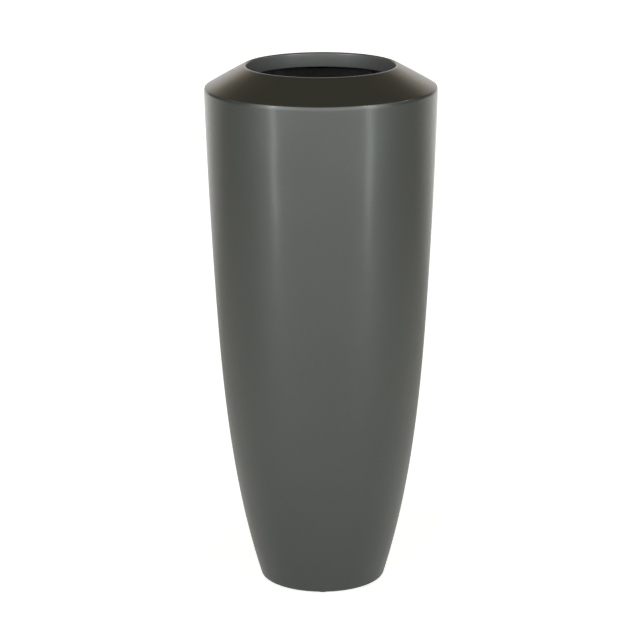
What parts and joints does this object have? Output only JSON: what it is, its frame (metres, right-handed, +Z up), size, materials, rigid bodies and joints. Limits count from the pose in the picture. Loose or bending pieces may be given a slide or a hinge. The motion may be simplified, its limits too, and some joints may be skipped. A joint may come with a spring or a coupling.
{
  "type": "tall round planter",
  "caption": "Tall tapered round floor planter with a sloping shoulder, a collared mouth, a planting shelf, a lift-out liner with a bail and a drain with a pull-out plug.",
  "frame": {"origin": "on the floor under the middle of the planter", "axes": "+Z up along the planter's axis; -Y is the front, seen in the picture; the liner's bail lies towards +Y and its hinge runs along X"},
  "size_m": [0.3976, 0.3976, 0.914],
  "materials": {
    "painted_laminate": "satin dark grey paint on glass laminate",
    "glass_tape": "black flow coat over glass tape",
    "resin_laminate": "black pigmented flow coat on moulded glass laminate",
    "plywood": "sealed exterior plywood",
    "black_rubber": "matt moulded rubber",
    "black_plastic": "moulded polypropylene",
    "liner_plastic": "moulded polypropylene, fine matt",
    "zinc_steel": "zinc plated"
  },
  "bodies": {
    "planter": {"wall_shell": "painted_laminate", "foot_pan": "resin_laminate", "shoulder_cap": "painted_laminate", "joint_tape": "glass_tape", "foot_pads": "black_rubber", "floor_board": "plywood", "drain_gasket": "black_rubber", "drain_bush": "black_plastic", "drain_nut": "black_plastic", "drain_strainer": "black_plastic", "shelf_cleats": "plywood", "planting_shelf": "plywood", "shelf_screws": "zinc_steel"},
    "liner": {"liner_pot": "liner_plastic"},
    "bail": {"liner_bail": "zinc_steel", "bail_grip": "black_plastic"},
    "plug": {"drain_plug": "black_rubber"}
  },
  "joints": [
    {"name": "liner_lift", "type": "slide", "parent": "planter", "child": "liner", "axis": [0, 0, 1], "range_m": [0, 0.315]},
    {"name": "bail_swing", "type": "hinge", "parent": "liner", "child": "bail", "pos_m": [0, 0, 0.8453], "axis": [1, 0, 0], "range_deg": [0, 180]},
    {"name": "plug_pull", "type": "slide", "parent": "planter", "child": "plug", "axis": [0, 0, -1], "range_m": [0, 0.024]}
  ]
}
